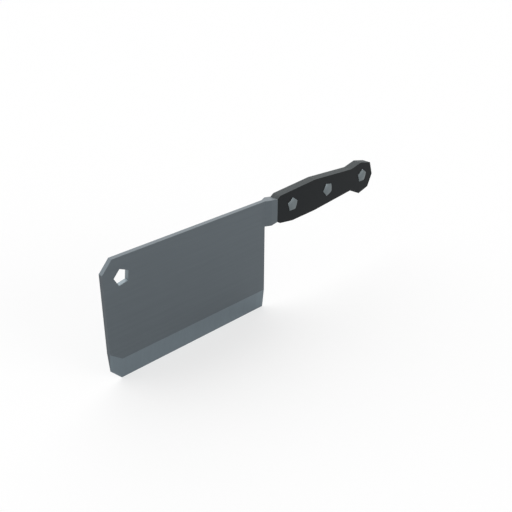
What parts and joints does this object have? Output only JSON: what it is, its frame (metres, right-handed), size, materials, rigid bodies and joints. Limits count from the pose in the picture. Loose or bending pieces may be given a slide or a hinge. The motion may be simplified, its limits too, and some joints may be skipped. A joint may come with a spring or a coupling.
{
  "type": "cleaver",
  "caption": "Kitchen cleaver with a broad bevelled blade, a hanging hole near the front of its spine, a short bolster and a riveted handle.",
  "frame": {"origin": "centre of the bounding box's bottom face: below the middle of the knife's length, level with its cutting edge, in the plane that halves its thickness", "axes": "+X from the blade's front edge towards the end of the handle, +Y from the side with the left scale towards the side with the right scale, +Z from the cutting edge towards the spine"},
  "size_m": [0.3414, 0.0122, 0.1181],
  "materials": {
    "blade_steel": "dark satin, ground lengthwise",
    "handle_plastic": "fine moulded grain, rim sanded flush",
    "rivet_steel": "satin"
  },
  "bodies": {
    "root": {"blade": "blade_steel", "left_scale": "handle_plastic", "right_scale": "handle_plastic", "front_rivet_male": "rivet_steel", "front_rivet_female": "rivet_steel", "middle_rivet_male": "rivet_steel", "middle_rivet_female": "rivet_steel", "rear_rivet_male": "rivet_steel", "rear_rivet_female": "rivet_steel"}
  },
  "joints": []
}
